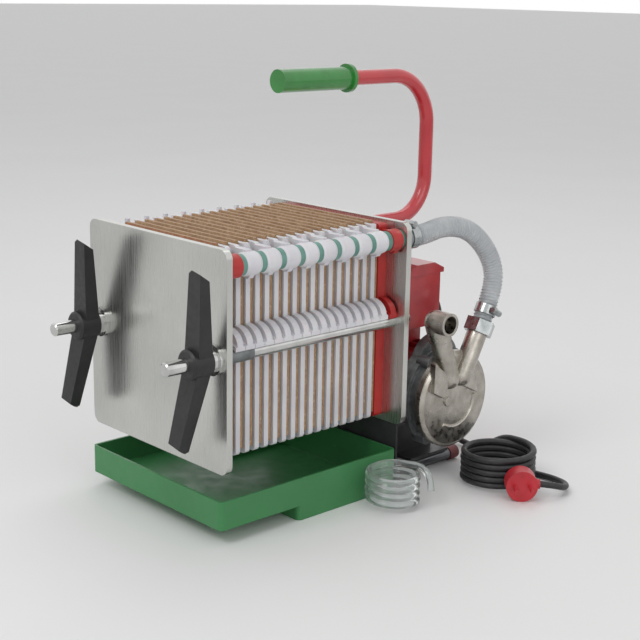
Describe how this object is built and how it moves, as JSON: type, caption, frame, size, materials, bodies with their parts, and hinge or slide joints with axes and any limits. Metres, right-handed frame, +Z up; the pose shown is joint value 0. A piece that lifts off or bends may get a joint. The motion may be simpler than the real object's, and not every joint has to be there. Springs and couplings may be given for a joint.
{
  "type": "plate filter press",
  "caption": "Bench filter press: filter plates and sheets on two tie rods between steel end plates, clamped by hand nuts, with drip tray, electric pump, hoses, mains lead and carrying handle.",
  "frame": {"origin": "on the floor, in the middle of the deep part of the drip tray's underside", "axes": "+X to the right, +Y back along the tie rods towards the pump, +Z up"},
  "size_m": [0.4227, 0.5297, 0.519],
  "materials": {
    "black_plastic": "fine grained moulding",
    "bright_steel": "ground and polished",
    "brushed_steel": "fine vertical brushing",
    "cap_plastic": "moulded",
    "clear_tube": "clear tube",
    "dark_paint": "satin",
    "filter_board": "fibrous filter board",
    "gasket_rubber": "smooth",
    "green_paint": "semi-gloss enamel",
    "green_plastic": "glossy moulding",
    "grey_casting": "blasted casting",
    "handle_red": "gloss paint",
    "hose_clear": "cloudy clear tube with a white spiral",
    "lead_black": "smooth sheath",
    "motor_red": "gloss paint",
    "plug_red": "moulded",
    "pump_nickel": "satin nickel plated casting",
    "rail_steel": "dull plated tube",
    "red_plastic": "moulded",
    "union_steel": "plated",
    "white_plastic": "satin moulded polypropylene"
  },
  "bodies": {
    "frame": {"base_rails": "rail_steel", "carry_grip": "green_plastic", "carry_handle": "handle_red", "clear_coil": "clear_tube", "clear_hose_end": "clear_tube", "cross_beam": "dark_paint", "drip_tray": "green_paint", "filter_plate_01": "white_plastic", "filter_plate_02": "white_plastic", "filter_plate_03": "white_plastic", "filter_plate_04": "white_plastic", "filter_plate_05": "white_plastic", "filter_plate_06": "white_plastic", "filter_plate_07": "white_plastic", "filter_plate_08": "white_plastic", "filter_plate_09": "white_plastic", "filter_plate_10": "white_plastic", "filter_plate_11": "white_plastic", "filter_plate_12": "white_plastic", "filter_plate_13": "white_plastic", "filter_plate_14": "white_plastic", "filter_plate_15": "white_plastic", "filter_plate_16": "white_plastic", "filter_plate_17": "white_plastic", "filter_sheets": "filter_board", "hose_barbs": "union_steel", "hose_clips": "union_steel", "lead_coil": "lead_black", "lead_gland": "black_plastic", "mains_lead": "lead_black", "mains_plug": "plug_red", "motor_body": "motor_red", "motor_bracket": "grey_casting", "motor_cowl": "motor_red", "motor_saddle": "dark_paint", "plug_lead": "lead_black", "port_gaskets_left": "gasket_rubber", "port_gaskets_right": "gasket_rubber", "pump_casing": "grey_casting", "pump_cover": "pump_nickel", "pump_elbow": "pump_nickel", "rail_caps": "cap_plastic", "rear_end_plate": "brushed_steel", "rear_head": "red_plastic", "rear_nuts": "union_steel", "rod_sleeves": "grey_casting", "terminal_box": "motor_red", "terminal_lid": "motor_red", "tie_rod_left": "bright_steel", "tie_rod_right": "bright_steel", "transfer_hose": "hose_clear", "union_nut": "union_steel"},
    "front_plate": {"front_end_plate": "brushed_steel", "front_head": "red_plastic", "clamp_washers": "bright_steel"},
    "clamp_right": {"clamp_handle_right": "black_plastic"},
    "clamp_left": {"clamp_handle_left": "black_plastic"}
  },
  "joints": [
    {"name": "front_plate_slide", "type": "slide", "parent": "frame", "child": "front_plate", "axis": [0, -1, 0], "range_m": [0, 0.03]},
    {"name": "clamp_right_turn", "type": "hinge", "parent": "front_plate", "child": "clamp_right", "pos_m": [0.1085, -0.2165, 0.213], "axis": [0, 1, 0], "range_deg": [-180, 180]},
    {"name": "clamp_left_turn", "type": "hinge", "parent": "front_plate", "child": "clamp_left", "pos_m": [-0.1085, -0.2165, 0.213], "axis": [0, 1, 0], "range_deg": [-180, 180]}
  ]
}
